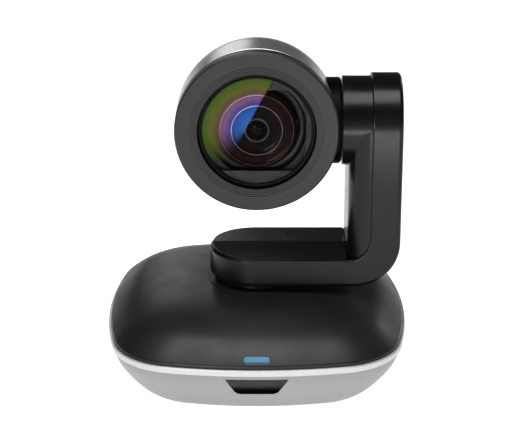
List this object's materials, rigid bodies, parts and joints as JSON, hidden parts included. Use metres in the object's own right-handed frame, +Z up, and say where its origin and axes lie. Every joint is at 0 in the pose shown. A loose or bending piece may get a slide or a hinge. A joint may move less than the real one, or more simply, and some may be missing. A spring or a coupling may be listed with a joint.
{
  "type": "ptz camera",
  "caption": "Desktop pan-tilt-zoom conference camera: domed base, motorised L-shaped pan arm and tilting zoom-lens head, with rear sockets and a tripod thread underneath.",
  "frame": {"origin": "middle of the base on the surface the feet stand on; the pan axis passes through it", "axes": "+Z up along the pan axis; the lens looks along -Y; the arm's upright stands on the +X side and the tilt axis runs along X"},
  "size_m": [0.13, 0.13, 0.146],
  "materials": {
    "silver_shell": "satin metallic lacquer",
    "bright_trim": "fine satin",
    "charcoal_cover": "satin charcoal",
    "window_black": "glossy infra-red window",
    "led_blue": "lit light pipe",
    "port_black": "moulded",
    "socket_steel": "plated shield",
    "foot_rubber": "matte",
    "thread_brass": "turned",
    "ballast_steel": "painted plate",
    "screw_steel": "zinc plated",
    "board_green": "solder mask",
    "chip_black": "moulded package",
    "frame_metal": "die cast",
    "bearing_steel": "ground",
    "motor_steel": "plated can",
    "gear_nylon": "natural acetal",
    "arm_black": "satin black lacquer",
    "arm_cover_black": "satin black",
    "hub_black": "satin black",
    "head_grey": "satin metallic lacquer",
    "cap_black": "satin black",
    "bezel_black": "satin dark grey",
    "baffle_black": "matte",
    "front_glass": "coated cover glass",
    "lens_glass": "coated lens glass",
    "carriage_black": "filled plastic",
    "sensor_glass": "sensor cover"
  },
  "bodies": {
    "base": {"base_bowl": "silver_shell", "ir_window": "window_black", "rim_trim": "bright_trim", "top_cover": "charcoal_cover", "status_led": "led_blue", "socket_tray": "port_black", "power_jack": "port_black", "usb_socket": "socket_steel", "control_socket": "port_black", "rubber_feet": "foot_rubber", "tripod_insert": "thread_brass", "ballast_plate": "ballast_steel", "base_screws": "screw_steel", "lock_slot_plate": "socket_steel", "main_board": "board_green", "board_chips": "chip_black", "ir_receiver": "chip_black", "pan_frame": "frame_metal", "pan_bearing": "bearing_steel", "pan_bush": "thread_brass", "pan_motor": "motor_steel"},
    "pan_pinion": {"pan_pinion": "gear_nylon"},
    "arm": {"pan_gear": "gear_nylon", "pan_shaft": "frame_metal", "pan_collar": "arm_black", "arm_band": "arm_black", "upright_cover": "arm_cover_black", "deck_plate": "arm_cover_black", "tilt_bracket": "frame_metal", "tilt_bearing": "bearing_steel", "tilt_motor": "motor_steel", "driver_board": "board_green", "arm_screws": "screw_steel"},
    "tilt_pinion": {"tilt_pinion": "gear_nylon"},
    "head": {"head_shell": "head_grey", "rear_cap": "cap_black", "front_bezel": "bezel_black", "front_glass": "front_glass", "lens_baffle": "baffle_black", "tilt_hub": "hub_black", "tilt_shaft": "bearing_steel", "tilt_gear": "gear_nylon", "lens_housing": "baffle_black", "front_lens": "lens_glass", "guide_rods": "frame_metal", "zoom_motor": "motor_steel", "focus_motor": "motor_steel", "image_sensor": "sensor_glass", "sensor_board": "board_green"},
    "zoom_group": {"zoom_carriage": "carriage_black", "zoom_element": "lens_glass"},
    "focus_group": {"focus_carriage": "carriage_black", "focus_element": "lens_glass"},
    "zoom_screw": {"zoom_screw": "bearing_steel"},
    "focus_screw": {"focus_screw": "bearing_steel"}
  },
  "joints": [
    {"name": "pan", "type": "hinge", "parent": "base", "child": "arm", "pos_m": [0, 0, 0.0415], "axis": [0, 0, 1], "range_deg": [-130, 130]},
    {"name": "pan_pinion_spin", "type": "hinge", "parent": "base", "child": "pan_pinion", "pos_m": [0, 0.02, 0.0278], "axis": [0, 0, 1], "range_deg": [-520, 520]},
    {"name": "tilt", "type": "hinge", "parent": "arm", "child": "head", "pos_m": [0, 0, 0.1115], "axis": [1, 0, 0], "range_deg": [-90, 40]},
    {"name": "tilt_pinion_spin", "type": "hinge", "parent": "arm", "child": "tilt_pinion", "pos_m": [0.054, 0, 0.0935], "axis": [1, 0, 0], "range_deg": [-140, 315]},
    {"name": "zoom", "type": "slide", "parent": "head", "child": "zoom_group", "axis": [0, 1, 0], "range_m": [0, 0.009]},
    {"name": "zoom_screw_spin", "type": "hinge", "parent": "head", "child": "zoom_screw", "pos_m": [-0.012, 0.01, 0.0995], "axis": [0, 1, 0], "range_deg": [-1, 1621]},
    {"name": "focus", "type": "slide", "parent": "head", "child": "focus_group", "axis": [0, 1, 0], "range_m": [-0.0024, 0.0014]},
    {"name": "focus_screw_spin", "type": "hinge", "parent": "head", "child": "focus_screw", "pos_m": [0.012, 0.02, 0.0995], "axis": [0, 1, 0], "range_deg": [-433, 253]}
  ],
  "couplings": [
    {"joint": "pan_pinion_spin", "follows": "pan", "ratio": -4},
    {"joint": "tilt_pinion_spin", "follows": "tilt", "ratio": -3.5},
    {"joint": "zoom_screw_spin", "follows": "zoom", "rad_per_m": 3141.6},
    {"joint": "focus_screw_spin", "follows": "focus", "rad_per_m": 3141.6}
  ]
}
